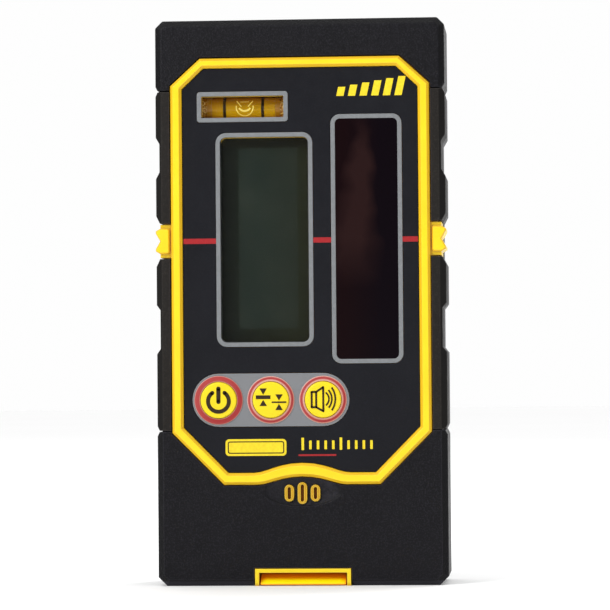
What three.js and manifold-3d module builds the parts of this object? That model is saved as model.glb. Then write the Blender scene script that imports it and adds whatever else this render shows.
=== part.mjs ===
// A hand-held laser line detector: a yellow inner housing wrapped in black grips, with a display, a receiving
// window, a level vial and three keys on its front, and a battery compartment and a clamp seat on its back.
// Millimetres. X runs to the right as seen from the front, Y from the front to the back, Z up. The origin is
// the middle of the base that the detector stands on.
import * as THREE from "three";
import { mergeVertices } from "three/addons/utils/BufferGeometryUtils.js";
import Module from "manifold-3d";

const wasm = await Module();
wasm.setup();

// ---------------------------------------------------------------- driving dimensions
const HALF_WIDTH = 40;
const REACH = HALF_WIDTH + 1; // past the side of the body
const HEIGHT = 156;
const GRADE_Z = 95; // the reference line, the marking notches and the clamp share this height
const GAP = 0.3; // between pieces that meet
const FIT = 0.15; // round a piece that sits in a pocket

// Stations along Y, from the front to the back.
const CREST_Y = -15;
const SKIN_Y = -14.2;
const PANEL_Y = -13.9;
const PLATE_Y = -12.4;
const PLATE_BACK_Y = -10.4;
const BOARD_Y = -3.5;
const BOARD_BACK_Y = -1.9;
const PARTING_Y = 1;
const REAR_INNER_Y = 12.4;
const REAR_Y = 14.4;
const SEAT_Y = 15;

// The outline of the body and the bevel round its front and back edges.
const TOP_CORNER = 2;
const BASE_CORNER = 2.4;
const BODY_BEVEL = { size: 1.7, drop: 1.5 };
const SKIN = 2; // thickness of the grips over the inner housing
const WALL = 1.8;
const CORE_HALF = HALF_WIDTH - SKIN - 0.2; // half width of the inner housing
const CAVITY_HALF = CORE_HALF - WALL;
const CORE_LOW = SKIN + 0.2;
const CORE_HIGH = HEIGHT - CORE_LOW;
const CAVITY_LOW = CORE_LOW + WALL;
const CAVITY_HIGH = CORE_HIGH - WALL;

// Each dip in the side walls: where it starts, its flat floor, where it ends, and its depth.
const SEAM_LOW_Z = 42.6;
const SEAM_HIGH_Z = 136.4;
const SEAM_DIP = { ramp: 1.4, depth: 0.7 };
const LAP = { reach: 1.2, thick: 0.6 }; // the covers' tongues, behind the edges of the grips
const MARK_HALF = 4.9; // half height of the marking notch's block
const MARK_BASE_Y = -13.4;
const SIDE_DIPS = [
  { low: SEAM_LOW_Z, high: SEAM_LOW_Z, ...SEAM_DIP },
  { low: 65.3, high: 76, ramp: 1.4, depth: 1.1 },
  { low: GRADE_Z - MARK_HALF, high: GRADE_Z + MARK_HALF, ramp: 2.1, depth: 1.1 },
  { low: 114.1, high: 121.9, ramp: 1.8, depth: 1.1 },
  { low: SEAM_HIGH_Z, high: SEAM_HIGH_Z, ...SEAM_DIP },
];

// The raised yellow frame, outside and inside.
const FRAME_OUTER = {
  side: 35.7, top: 145.3, shoulderX: 27.5, shoulderZ: 137.8, hipZ: 42.1, toeX: 21.5, base: 27.8,
  archHalf: 12.2, archTop: 30,
};
const FRAME_INNER = {
  side: 32.6, top: 142.6, shoulderX: 26.6, shoulderZ: 136.9, hipZ: 43.5, toeX: 20.3, base: 31,
  archHalf: 13.3, archTop: 33.7,
};
const FRAME_BEVEL = { size: 0.75, drop: 0.8 };

// Windows in the front panel: centre, width, height and corner radius of each lens.
const WINDOW_Z = GRADE_Z + 0.2;
const DISPLAY = { x: -9.9, z: WINDOW_Z, w: 26.8, h: 59, r: 2.9, border: 1.25 };
const SENSOR = { x: 18.3, z: WINDOW_Z, w: 19.6, h: 68.6, r: 2.6, border: 1.25 };
const VIAL = { x: -15.8, z: 131.9, w: 25.2, h: 8.4, r: 0.8, border: 1.2 };
const WINDOWS = { display: DISPLAY, sensor: SENSOR, vial: VIAL };
const LENS_THICK = 1.2;
const VIAL_TUBE = { y: -6.9, r: 3.2, half: 12 };

// The keypad: an oval bezel with three keys.
const KEYPAD = { x: -8.5, z: 51.05, w: 43.3, h: 14.6, r: 7.3, steps: 4 };
const KEYS = [
  { name: "power", x: -22.9 },
  { name: "accuracy", x: -8.5 },
  { name: "volume", x: 5.9 },
];
const KEY_R = 5;
const KEY_FLANGE_R = 5.6;
const KEY_STEM_R = 1.6;
const KEY_TRAVEL = 0.8;
const KEY_RING = { outer: 6.6, height: 0.2 };
const SWITCH = { half: 3, height: 2, plungerR: 1.7, plunger: 0.45 };
const KEY_STEM_Y = BOARD_Y - SWITCH.height - SWITCH.plunger - FIT - KEY_TRAVEL;

// The sounder's three slots, in a shallow dish under the frame's arch.
const SLOT_Z = 25.4;
const SLOTS = [
  { x: -3.6, h: 4.6 },
  { x: 0, h: 6 },
  { x: 3.6, h: 4.6 },
];
const SLOT_W = 2.6;
const SLOT_BORE = { w: 0.9, shorter: 1.3 };
const DISH = { halfX: 11, depth: 0.9, halfZ: 4.3, z: 26 };

// The battery compartment, its door and its latch.
const BAY = { half: 28.2, low: 5.3, high: 38.3, front: -5.3, wall: 1.4 };
const DOOR_HINGE = { y: 12.9, z: 36.4, r: 1.5, pin: 0.9, socket: 1.2 };
const DOOR = { half: 28, low: 3.8, inner: 12.6 };
const POCKET = { half: 13.2, top: 4.7, lip: 1.1, back: -8.6 };
const LATCH_TRAVEL = 1.2;
const LATCH_ARM = { half: 7, low: 2.3, high: 3.3 };
const ARM_GATE = LATCH_ARM.half + 0.6; // half width of the ways cut for the arm
const BATTERY = { x0: -27.2, x1: 18.8, y0: -5, y1: 12.3, z0: 6.6, z1: 33.1 };
const SNAP = { x0: 19.1, x1: 23.4, z0: 9, z1: 30 };
const LEAD_X = 20.4;
const LEAD_PITCH = 2;

// Fasteners. Case screws run along Y, from the back.
const CASE_SCREW = {
  x: 33.6, heights: [9.5, 80, 147], boss: 2.9, shank: 1.45, head: 2.6, tipY: -8, seatY: 10.6,
};
const BOARD_SCREW = {
  x: 27, heights: [46, 146], boss: 2.3, shank: 1.1, head: 2, tipY: -8.4, seatY: BOARD_BACK_Y + 0.05,
};
const BOARD = { half: 30, low: 42.5, high: 150 };

const MAGNET = { x: 22, y: -6.6, r: 4.5 };
const INSERT = { r: 4.6, bore: 2.9, boss: 7 };
const SEAT = { x: 0, z: GRADE_Z, w: 34, h: 38, r: 4, pegX: 12, pegR: 1.8 };
const LABEL = { x: 0, z: 130, w: 50, h: 22, r: 2 };

const ARC_STEPS = 2; // half the segments in each quarter of a round corner
const CURVE_STEPS = 6; // segments in each half of the frame's arch
const ROUND_SIDES = 20;
const HIDDEN_SIDES = 12;

// ---------------------------------------------------------------- solids
function solidOf(geometry) {
  const loose = geometry.index ? geometry.toNonIndexed() : geometry;
  const bare = new THREE.BufferGeometry().setAttribute("position", loose.getAttribute("position"));
  const merged = mergeVertices(bare, 1e-4);
  return new wasm.Manifold(
    new wasm.Mesh({
      numProp: 3,
      vertProperties: merged.attributes.position.array,
      triVerts: new Uint32Array(merged.index.array),
    }),
  );
}

function geometryOf(solid) {
  const mesh = solid.getMesh();
  const geometry = new THREE.BufferGeometry();
  geometry.setAttribute("position", new THREE.BufferAttribute(mesh.vertProperties, 3));
  geometry.setIndex(new THREE.BufferAttribute(mesh.triVerts, 1));
  geometry.computeVertexNormals();
  return geometry;
}

const join = (first, ...rest) => rest.reduce((all, next) => all.add(next), first);
const cut = (first, ...rest) => rest.reduce((left, next) => left.subtract(next), first);
const meet = (first, ...rest) => rest.reduce((both, next) => both.intersect(next), first);

function box(x0, x1, y0, y1, z0, z1) {
  const geometry = new THREE.BoxGeometry(Math.abs(x1 - x0), y1 - y0, z1 - z0);
  return solidOf(geometry.translate((x0 + x1) / 2, (y0 + y1) / 2, (z0 + z1) / 2));
}

// A shape drawn in X and Z, extruded from yFront to yBack, with a bevel round both ends if one is given.
function slab(shape, yFront, yBack, bevel, steps = ARC_STEPS) {
  const drop = bevel ? bevel.drop : 0;
  const geometry = new THREE.ExtrudeGeometry(shape, {
    depth: yBack - yFront - 2 * drop,
    curveSegments: steps,
    bevelEnabled: Boolean(bevel),
    bevelThickness: drop,
    bevelSize: bevel ? bevel.size : 0,
    bevelOffset: bevel ? -bevel.size : 0,
    bevelSegments: 1,
  });
  return solidOf(geometry.rotateX(Math.PI / 2).translate(0, yBack - drop, 0));
}

// A shape drawn in Y and Z, extruded from x0 to x1.
function bar(shape, x0, x1) {
  const geometry = new THREE.ExtrudeGeometry(shape, {
    depth: x1 - x0,
    curveSegments: ARC_STEPS,
    bevelEnabled: false,
  });
  const turn = new THREE.Matrix4().makeBasis(
    new THREE.Vector3(0, 1, 0),
    new THREE.Vector3(0, 0, 1),
    new THREE.Vector3(1, 0, 0),
  );
  return solidOf(geometry.applyMatrix4(turn).translate(x0, 0, 0));
}

// A solid of revolution about the Y axis, from a profile of [radius, y] with y rising.
function turned(profile, sides = ROUND_SIDES) {
  const points = profile.map(([radius, y]) => new THREE.Vector2(radius, y));
  return solidOf(new THREE.LatheGeometry(points, sides));
}

function rodX(y, z, r, x0, x1, sides = HIDDEN_SIDES) {
  const rod = new THREE.CylinderGeometry(r, r, Math.abs(x1 - x0), sides).rotateZ(Math.PI / 2);
  return solidOf(rod.translate((x0 + x1) / 2, y, z));
}

function rodY(x, z, r, y0, y1, sides = HIDDEN_SIDES) {
  return solidOf(new THREE.CylinderGeometry(r, r, y1 - y0, sides).translate(x, (y0 + y1) / 2, z));
}

function rodZ(x, y, r, z0, z1, sides = ROUND_SIDES) {
  const rod = new THREE.CylinderGeometry(r, r, z1 - z0, sides).rotateX(Math.PI / 2);
  return solidOf(rod.translate(x, y, (z0 + z1) / 2));
}

// The same feature on the right and on the left. Its maker takes the side as 1 or -1.
const bothSides = (make) => join(make(1), make(-1));

// ---------------------------------------------------------------- outlines
function polygon(points) {
  return new THREE.Shape(points.map(([x, z]) => new THREE.Vector2(x, z)));
}

const mirrored = (right) => [...right, ...right.map(([x, z]) => [-x, z]).reverse()];

const plainOutline = () =>
  polygon(
    mirrored([
      [HALF_WIDTH - BASE_CORNER, 0],
      [HALF_WIDTH, BASE_CORNER],
      [HALF_WIDTH, HEIGHT - TOP_CORNER],
      [HALF_WIDTH - TOP_CORNER, HEIGHT],
    ]),
  );

// The plain outline with the finger dips, the seam nicks and the marking gap cut into both sides.
function dippedOutline() {
  const right = [[HALF_WIDTH, -1]];
  for (const { low, high, ramp, depth } of SIDE_DIPS) {
    right.push([HALF_WIDTH, low - ramp], [HALF_WIDTH - depth, low]);
    if (high > low) right.push([HALF_WIDTH - depth, high]);
    right.push([HALF_WIDTH, high + ramp]);
  }
  right.push([HALF_WIDTH, HEIGHT + 1]);
  return polygon(mirrored(right));
}

// The eight-sided frame outline, with an arch in its base. A positive inset shrinks it.
function frameOutline(f, inset = 0) {
  const along = inset * Math.tan(Math.PI / 8);
  const [side, top, base] = [f.side - inset, f.top - inset, f.base + inset];
  const [shoulderX, shoulderZ] = [f.shoulderX - along, f.shoulderZ - along];
  const [toeX, hipZ] = [f.toeX - along, f.hipZ + along];
  const [archHalf, archTop] = [f.archHalf + inset / 2, f.archTop + inset];
  const shape = new THREE.Shape();
  shape.moveTo(archHalf, base);
  shape.lineTo(toeX, base);
  shape.lineTo(side, hipZ);
  shape.lineTo(side, shoulderZ);
  shape.lineTo(shoulderX, top);
  shape.lineTo(-shoulderX, top);
  shape.lineTo(-side, shoulderZ);
  shape.lineTo(-side, hipZ);
  shape.lineTo(-toeX, base);
  shape.lineTo(-archHalf, base);
  shape.bezierCurveTo(-archHalf * 0.75, base, -archHalf * 0.5, archTop, 0, archTop);
  shape.bezierCurveTo(archHalf * 0.5, archTop, archHalf * 0.75, base, archHalf, base);
  return shape;
}

// A rectangle with round corners. A positive inset shrinks it.
function roundedRect({ x, z, w, h, r }, inset = 0) {
  const [halfW, halfH] = [w / 2 - inset, h / 2 - inset];
  const round = Math.max(0.2, Math.min(r - inset, halfW - 0.01, halfH - 0.01));
  const shape = new THREE.Shape();
  shape.absarc(x + halfW - round, z + halfH - round, round, 0, Math.PI / 2);
  shape.absarc(x - halfW + round, z + halfH - round, round, Math.PI / 2, Math.PI);
  shape.absarc(x - halfW + round, z - halfH + round, round, Math.PI, 1.5 * Math.PI);
  shape.absarc(x + halfW - round, z - halfH + round, round, 1.5 * Math.PI, 2 * Math.PI);
  return shape;
}

const slotOutline = ({ x, h }, width, shorter = 0) =>
  roundedRect({ x, z: SLOT_Z, w: width, h: h - shorter, r: width / 2 });

// ---------------------------------------------------------------- the outer body
const body = meet(
  slab(plainOutline(), SKIN_Y, REAR_Y, BODY_BEVEL),
  slab(dippedOutline(), CREST_Y, SEAT_Y),
);

const placesOf = ({ x, heights }) => heights.flatMap((z) => [{ x: -x, z }, { x, z }]);
const screwPlaces = placesOf(CASE_SCREW);
const boardScrewPlaces = placesOf(BOARD_SCREW);

// One marking notch: a block let into the grip, and on it a pad that stops short of the frame.
// The pad has a V between two teeth in its outer edge.
function markBlock(side) {
  const inner = FRAME_OUTER.side - 1;
  const padInner = FRAME_OUTER.side + 0.5;
  const rim = HALF_WIDTH - 1.2;
  const half = MARK_HALF - GAP;
  const below = [
    [padInner, -3], [padInner + 0.4, -3.5], [rim, -3.5], [HALF_WIDTH, -2.8], [HALF_WIDTH, -2.1],
  ];
  const above = below.map(([x, z]) => [x, -z]).reverse();
  const toothed = [...below, [rim, 0], ...above].map(([x, z]) => [side * x, GRADE_Z + z]);
  return join(
    box(side * inner, side * rim, MARK_BASE_Y, PARTING_Y, GRADE_Z - half, GRADE_Z + half),
    slab(polygon(toothed), SKIN_Y - 0.1, PARTING_Y, { size: 0.35, drop: 0.35 }),
  );
}

// The space of the latch's thumb pocket, open below. A positive inset shrinks it.
const pocketBox = (inset, yFront, yBack) =>
  box(inset - POCKET.half, POCKET.half - inset, yFront, yBack, -1, POCKET.top - inset);

// The black skin over the front half, before its seams divide it into covers and grips.
function frontSkin() {
  const front = meet(body, box(-HALF_WIDTH, HALF_WIDTH, SKIN_Y, PARTING_Y, 0, HEIGHT));
  const core = box(
    -CORE_HALF - 0.2, CORE_HALF + 0.2, PLATE_Y - 0.2, PARTING_Y + 1, CORE_LOW - 0.2, CORE_HIGH + 0.2,
  );
  const opening = slab(frameOutline(FRAME_OUTER, -GAP), SKIN_Y - 1, PLATE_Y + 1, null, CURVE_STEPS);
  const [markLow, markHigh] = [GRADE_Z - MARK_HALF, GRADE_Z + MARK_HALF];
  const marks = bothSides((side) =>
    box(side * (FRAME_OUTER.side - 1), side * REACH, SKIN_Y - 1, PARTING_Y + 1, markLow, markHigh),
  );
  const bowl = new THREE.SphereGeometry(1, 20, 8).scale(DISH.halfX, DISH.depth, DISH.halfZ);
  const dish = solidOf(bowl.translate(0, SKIN_Y, DISH.z));
  const slots = SLOTS.map((slot) =>
    slab(slotOutline(slot, SLOT_W + 2 * FIT, -2 * FIT), SKIN_Y - 1, PLATE_Y + 1),
  );
  const pocket = pocketBox(-GAP, SKIN_Y - 1, POCKET.back + LATCH_TRAVEL);
  const magnets = bothSides((side) => rodZ(side * MAGNET.x, MAGNET.y, MAGNET.r + FIT, CORE_HIGH, HEIGHT + 1));
  return cut(front, core, opening, marks, dish, ...slots, pocket, magnets);
}

const skin = frontSkin();
const skinPart = (x0, x1, z0, z1) => meet(skin, box(x0, x1, SKIN_Y - 1, PARTING_Y + 1, z0, z1));

// The innermost layer of the skin between two heights. A margin makes the room for it.
function lapLayer(z0, z1, margin = 0) {
  const half = CORE_HALF + 0.2 + LAP.thick + margin;
  const front = PLATE_Y - 0.2 - LAP.thick - margin;
  return meet(skin, box(-half, half, front, PARTING_Y + 1, z0 - margin, z1 + margin));
}

const topCover = () =>
  join(
    skinPart(-REACH, REACH, SEAM_HIGH_Z + GAP / 2, HEIGHT + 1),
    lapLayer(SEAM_HIGH_Z - LAP.reach, SEAM_HIGH_Z + 1),
  );
const bottomCover = () =>
  join(
    skinPart(-REACH, REACH, -1, SEAM_LOW_Z - GAP / 2),
    lapLayer(SEAM_LOW_Z - 1, SEAM_LOW_Z + LAP.reach),
  );
const upperGrip = (side) =>
  cut(
    skinPart(0, side * REACH, GRADE_Z, SEAM_HIGH_Z - GAP / 2),
    lapLayer(SEAM_HIGH_Z - LAP.reach, SEAM_HIGH_Z, GAP),
  );
const lowerGrip = (side) =>
  cut(
    skinPart(0, side * REACH, SEAM_LOW_Z + GAP / 2, GRADE_Z),
    lapLayer(SEAM_LOW_Z, SEAM_LOW_Z + LAP.reach, GAP),
  );

// The yellow inner housing: a tray with the raised frame, the marking blocks, the sounder's collars and the
// latch pocket's lip all moulded in one.
function frontHousing() {
  const tray = cut(
    box(-CORE_HALF, CORE_HALF, PLATE_Y, PARTING_Y - GAP, CORE_LOW, CORE_HIGH),
    box(-CAVITY_HALF, CAVITY_HALF, PLATE_BACK_Y, PARTING_Y, CAVITY_LOW, CAVITY_HIGH),
  );
  const ring = frameOutline(FRAME_OUTER);
  ring.holes.push(frameOutline(FRAME_INNER));
  const frame = slab(ring, CREST_Y, PLATE_BACK_Y - 0.4, FRAME_BEVEL, CURVE_STEPS);
  const marks = bothSides(markBlock);
  const collars = SLOTS.map((slot) => slab(slotOutline(slot, SLOT_W), SKIN_Y, PLATE_Y + 0.5));
  const lip = meet(pocketBox(0, SKIN_Y - 0.2, POCKET.back), box(-REACH, REACH, CREST_Y, 0, 0, HEIGHT));
  const bossRoot = PLATE_BACK_Y - 0.5;
  const bosses = [
    ...screwPlaces.map(({ x, z }) => rodY(x, z, CASE_SCREW.boss, bossRoot, PARTING_Y - GAP)),
    ...boardScrewPlaces.map(({ x, z }) => rodY(x, z, BOARD_SCREW.boss, bossRoot, BOARD_Y - 0.1)),
  ];
  const holes = [
    ...Object.values(WINDOWS).map((w) => slab(roundedRect(w, w.border), PLATE_Y - 1, PLATE_BACK_Y + 1)),
    ...KEYS.map(({ x }) => rodY(x, KEYPAD.z, KEY_FLANGE_R + 0.4, PLATE_Y - 1, PLATE_BACK_Y + 1, ROUND_SIDES)),
    ...SLOTS.map((slot) =>
      slab(slotOutline(slot, SLOT_BORE.w, SLOT_BORE.shorter), SKIN_Y - 1, PLATE_BACK_Y + 1),
    ),
    ...screwPlaces.map(({ x, z }) => rodY(x, z, CASE_SCREW.shank + FIT, CASE_SCREW.tipY - 0.4, PARTING_Y)),
    ...boardScrewPlaces.map(({ x, z }) =>
      rodY(x, z, BOARD_SCREW.shank + FIT, BOARD_SCREW.tipY - 0.4, BOARD_Y),
    ),
    pocketBox(POCKET.lip, SKIN_Y - 1, PARTING_Y),
    box(-ARM_GATE, ARM_GATE, POCKET.back + 1, PARTING_Y, -1, POCKET.top),
  ];
  return cut(join(tray, frame, marks, lip, ...collars, ...bosses), ...holes);
}

// The graphite panel inside the frame, with openings for the lenses and the keypad.
function faceplate() {
  const openings = [...Object.values(WINDOWS), KEYPAD].map((w) =>
    slab(roundedRect(w, -FIT), PANEL_Y - 1, PLATE_Y + 1, null, w.steps),
  );
  const panel = slab(frameOutline(FRAME_INNER, FIT), PANEL_Y, PLATE_Y - 0.1, null, CURVE_STEPS);
  return cut(panel, ...openings);
}

const lens = (w) => slab(roundedRect(w), PANEL_Y - 0.05, PANEL_Y - 0.05 + LENS_THICK);

// ---------------------------------------------------------------- keys
function keypadBezel() {
  const face = PANEL_Y - 0.1;
  const plate = slab(roundedRect(KEYPAD), face, PLATE_Y - 0.3, null, KEYPAD.steps);
  const rings = KEYS.map(({ x }) =>
    rodY(x, KEYPAD.z, KEY_RING.outer, face - KEY_RING.height, PLATE_Y - 0.8, ROUND_SIDES),
  );
  const bores = KEYS.map(({ x }) => rodY(x, KEYPAD.z, KEY_R + FIT, face - 1, PLATE_Y + 1, ROUND_SIDES));
  return cut(join(plate, ...rings), ...bores);
}

// A key stands on its own axis, and so do its switch and each screw.
const keyCap = () =>
  turned([
    [0, PANEL_Y - 0.9],
    [KEY_R - 0.45, PANEL_Y - 0.8],
    [KEY_R, PANEL_Y - 0.45],
    [KEY_R, PLATE_Y + 0.1],
    [KEY_FLANGE_R, PLATE_Y + 0.1],
    [KEY_FLANGE_R, PLATE_Y + 0.9],
    [KEY_STEM_R, PLATE_Y + 0.9],
    [KEY_STEM_R, KEY_STEM_Y],
    [0, KEY_STEM_Y],
  ]);

function keySwitch() {
  const { half, height, plungerR, plunger } = SWITCH;
  const bodyTop = BOARD_Y - height;
  return join(
    box(-half, half, bodyTop, BOARD_Y - 0.05, -half, half),
    rodY(0, 0, plungerR, bodyTop - plunger, bodyTop + 0.5),
  );
}

// ---------------------------------------------------------------- electronics
function mainBoard() {
  const sheet = box(-BOARD.half, BOARD.half, BOARD_Y, BOARD_BACK_Y, BOARD.low, BOARD.high);
  const holes = boardScrewPlaces.map(({ x, z }) =>
    rodY(x, z, BOARD_SCREW.shank + FIT, BOARD_Y - 1, BOARD_BACK_Y + 1),
  );
  return cut(sheet, ...holes);
}

// The display and the sensor stand on their window's own axis.
const centred = (half, y0, y1, z0, z1) => box(-half, half, y0, y1, z0, z1);

function displayHolder() {
  const outer = centred(14.7, -10.3, BOARD_Y - 0.1, -30.6, 30.6);
  const seat = centred(13.4, -10.4, -7.3, -29.4, 29.4);
  const hollow = centred(12, -7.4, 0, -22, 28);
  const stripSlot = centred(11.2, -7.4, 0, -27.8, -24.2);
  return cut(outer, seat, hollow, stripSlot);
}

const displayGlass = () => centred(13.2, -10.2, -7.4, -29.2, 29.2);
const contactStrip = () => centred(11, -7.35, BOARD_Y - 0.05, -27.4, -24.6);
const sensorBoard = () => centred(8, -7.6, -6.4, -33, 33);
const sensorHeader = () => centred(5, -6.35, BOARD_Y - 0.05, -31, -28.5);

// A carrier strip with a column of light-sensitive cells on its front, and a row of pins behind it.
function photodiodeArray() {
  const cells = 9;
  const pitch = 7;
  const carrier = centred(4, -8.6, -7.65, -32, 32);
  const column = Array.from({ length: cells }, (_, i) => {
    const z = (i - (cells - 1) / 2) * pitch;
    return centred(2.7, -9.7, -8.5, z - 2.9, z + 2.9);
  });
  return join(carrier, ...column);
}

const controllerChip = () => centred(6, BOARD_BACK_Y + 0.05, BOARD_BACK_Y + 1.5, -6, 6);

// The vial lies along X, in a cradle behind its window.
function vialTube(margin = 0) {
  const half = VIAL_TUBE.half + margin;
  return rodX(VIAL_TUBE.y, 0, VIAL_TUBE.r + margin, -half, half, ROUND_SIDES);
}

function vialHolder() {
  const block = centred(14, -10.3, BOARD_Y - 0.1, -4.6, 4.6);
  const view = centred(11.6, -11, VIAL_TUBE.y, -3.2, 3.2);
  return cut(block, vialTube(FIT), view);
}

const sounder = () =>
  turned([
    [0, -10.2],
    [3, -10.2],
    [7.6, -9.9],
    [7.6, -7.4],
    [7, -7],
    [0, -7],
  ]);

// ---------------------------------------------------------------- the rear half
function rearHousing() {
  const shell = cut(
    meet(body, box(-HALF_WIDTH, HALF_WIDTH, PARTING_Y + GAP, REAR_Y, 0, HEIGHT)),
    box(-CAVITY_HALF, CAVITY_HALF, 0, REAR_INNER_Y, CAVITY_LOW, CAVITY_HIGH),
  );
  const outerHalf = BAY.half + BAY.wall;
  const bayWalls = box(
    -outerHalf, outerHalf, BAY.front - BAY.wall, REAR_INNER_Y + 0.5, CAVITY_LOW + 0.3, BAY.high + BAY.wall,
  );
  const bayFoot = box(-outerHalf, outerHalf, PARTING_Y + GAP, REAR_INNER_Y + 0.5, CAVITY_LOW - 0.5, BAY.low);
  const bayInside = box(-BAY.half, BAY.half, BAY.front, REAR_Y + 1, BAY.low, BAY.high);
  const doorway = box(-BAY.half, BAY.half, REAR_INNER_Y - 0.5, REAR_Y + 1, DOOR.low - GAP, BAY.high);
  const hingeSockets = bothSides((side) =>
    rodX(DOOR_HINGE.y, DOOR_HINGE.z, DOOR_HINGE.socket, side * (BAY.half - 0.5), side * (BAY.half + 1.7)),
  );
  const nibSlot = box(-5.6, 5.6, 9.3, DOOR.inner + 0.2, LATCH_ARM.high, BAY.low + 0.1);
  const armChannel = box(-ARM_GATE, ARM_GATE, 0, DOOR.inner + 0.2, LATCH_ARM.low - GAP, LATCH_ARM.high + GAP);
  const leadNotch = box(SNAP.x0, SNAP.x1 + 2, 0.5, 7, BAY.high - 1, BAY.high + BAY.wall + 1);
  const seat = slab(roundedRect(SEAT), REAR_INNER_Y - 0.5, SEAT_Y, { size: 0.5, drop: 0.5 });
  const seatBoss = rodY(0, GRADE_Z, INSERT.boss, 4, REAR_INNER_Y + 0.5);
  const insertHole = rodY(0, GRADE_Z, INSERT.r + FIT, 3, SEAT_Y + 1, ROUND_SIDES);
  const pegHoles = bothSides((side) => rodY(side * SEAT.pegX, GRADE_Z, SEAT.pegR, SEAT_Y - 1.8, SEAT_Y + 1));
  const bosses = screwPlaces.map(({ x, z }) =>
    rodY(x, z, CASE_SCREW.boss, PARTING_Y + GAP, REAR_INNER_Y + 0.5),
  );
  const screwHoles = screwPlaces.flatMap(({ x, z }) => [
    rodY(x, z, CASE_SCREW.shank + FIT, 0, REAR_Y + 1),
    rodY(x, z, CASE_SCREW.head + 0.3, CASE_SCREW.seatY - 0.1, REAR_Y + 1),
  ]);
  const grooves = Array.from({ length: 5 }, (_, i) => {
    const groove = { x: 0, z: 50 + i * 4, w: 44, h: 1.4, r: 0.4 };
    return slab(roundedRect(groove), REAR_Y - 0.6, REAR_Y + 1, null, 1);
  });
  const labelPocket = slab(roundedRect(LABEL, -GAP), REAR_Y - 0.4, REAR_Y + 1);
  return cut(
    join(shell, cut(join(bayWalls, bayFoot), bayInside), seat, seatBoss, ...bosses),
    doorway, hingeSockets, nibSlot, armChannel, leadNotch, insertHole, pegHoles, labelPocket, gasketRing(FIT),
    ...screwHoles, ...grooves,
  );
}

// The flat seal between the halves, open at the base for the latch. A positive margin makes its groove.
function gasketRing(margin = 0) {
  const seal = (inset) =>
    box(
      inset - CORE_HALF, CORE_HALF - inset, PARTING_Y + 0.1 - margin, PARTING_Y + 0.9 + margin,
      CORE_LOW + inset, CORE_HIGH - inset,
    );
  const gate = ARM_GATE + 0.4 - margin;
  return cut(seal(0.5 - margin), seal(1.5 + margin), box(-gate, gate, 0, PARTING_Y + 2, 0, BAY.low));
}

function batteryDoor() {
  const { y, z, r } = DOOR_HINGE;
  const section = new THREE.Shape();
  section.moveTo(DOOR.inner, DOOR.low);
  section.lineTo(REAR_Y - 0.4, DOOR.low);
  section.lineTo(REAR_Y, DOOR.low + 0.4);
  section.lineTo(REAR_Y, z);
  section.absarc(y, z, r, 0, Math.PI);
  section.lineTo(y - r, z - 0.6);
  section.lineTo(DOOR.inner, z - 2.4);
  const panel = bar(section, -DOOR.half, DOOR.half);
  const pins = bothSides((side) =>
    rodX(y, z, DOOR_HINGE.pin, side * (DOOR.half - 0.5), side * (DOOR.half + 1.5)),
  );
  const catchRib = box(-5, 5, 11.3, DOOR.inner + 0.2, 5, 6.2);
  const ribs = Array.from({ length: 4 }, (_, i) => {
    const rib = { x: 0, z: 8 + i * 3, w: 22, h: 1.2, r: 0.4 };
    return slab(roundedRect(rib), REAR_Y - 0.5, REAR_Y + 0.4, null, 1);
  });
  return join(panel, pins, catchRib, ...ribs);
}

// The latch: a thumb ramp in the front pocket, an arm under the compartment and a nib behind the door's rib.
function batteryLatch() {
  const half = POCKET.half - POCKET.lip - GAP;
  const top = POCKET.top - POCKET.lip - GAP;
  const ramp = polygon([
    [SKIN_Y + 0.3, 0.2],
    [POCKET.back - 0.2, 0.2],
    [POCKET.back - 0.2, top],
    [POCKET.back - 1.4, top],
    [POCKET.back - 2.6, top - 0.7],
    [SKIN_Y + 0.3, 0.7],
  ]);
  const arm = box(-LATCH_ARM.half, LATCH_ARM.half, POCKET.back - 0.8, 11.1, LATCH_ARM.low, LATCH_ARM.high);
  const nib = box(-5, 5, 9.9, 11.1, LATCH_ARM.low, 4.6);
  return join(bar(ramp, -half, half), arm, nib);
}

const TERMINALS = [
  { z: 13.5, r: 2.8 },
  { z: 26.2, r: 3.4 },
];

function battery() {
  const { x0, x1, y0, y1, z0, z1 } = BATTERY;
  const shape = new THREE.Shape();
  const round = 2;
  shape.absarc(y1 - round, z1 - round, round, 0, Math.PI / 2);
  shape.absarc(y0 + round, z1 - round, round, Math.PI / 2, Math.PI);
  shape.absarc(y0 + round, z0 + round, round, Math.PI, 1.5 * Math.PI);
  shape.absarc(y1 - round, z0 + round, round, 1.5 * Math.PI, 2 * Math.PI);
  const midY = (y0 + y1) / 2;
  const terminals = TERMINALS.map(({ z, r }) => rodX(midY, z, r, x1 - 0.5, x1 + 2));
  return join(bar(shape, x0, x1), ...terminals);
}

function batterySnap() {
  const midY = (BATTERY.y0 + BATTERY.y1) / 2;
  const plate = box(SNAP.x0, SNAP.x1, midY - 6.5, midY + 6.5, SNAP.z0, SNAP.z1);
  const sockets = TERMINALS.map(({ z, r }) => rodX(midY, z, r + GAP, SNAP.x0 - 1, BATTERY.x1 + 2.4));
  return cut(plate, ...sockets);
}

// An insulated lead from the snap, at this depth, up to the back of the main board.
function lead(y) {
  const top = BAY.high + BAY.wall;
  const route = new THREE.CatmullRomCurve3(
    [
      [y, SNAP.z1 + 0.1],
      [y, SNAP.z1 + 4],
      [y, top],
      [y - 1, top + 4],
      [BOARD_BACK_Y + 2, top + 6],
      [BOARD_BACK_Y + 0.1, top + 6],
    ].map(([depth, height]) => new THREE.Vector3(0, depth, height)),
  );
  const section = new THREE.Shape().absarc(0, 0, 0.65, 0, 2 * Math.PI);
  return solidOf(new THREE.ExtrudeGeometry(section, { steps: 12, curveSegments: 4, extrudePath: route }));
}

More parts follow.
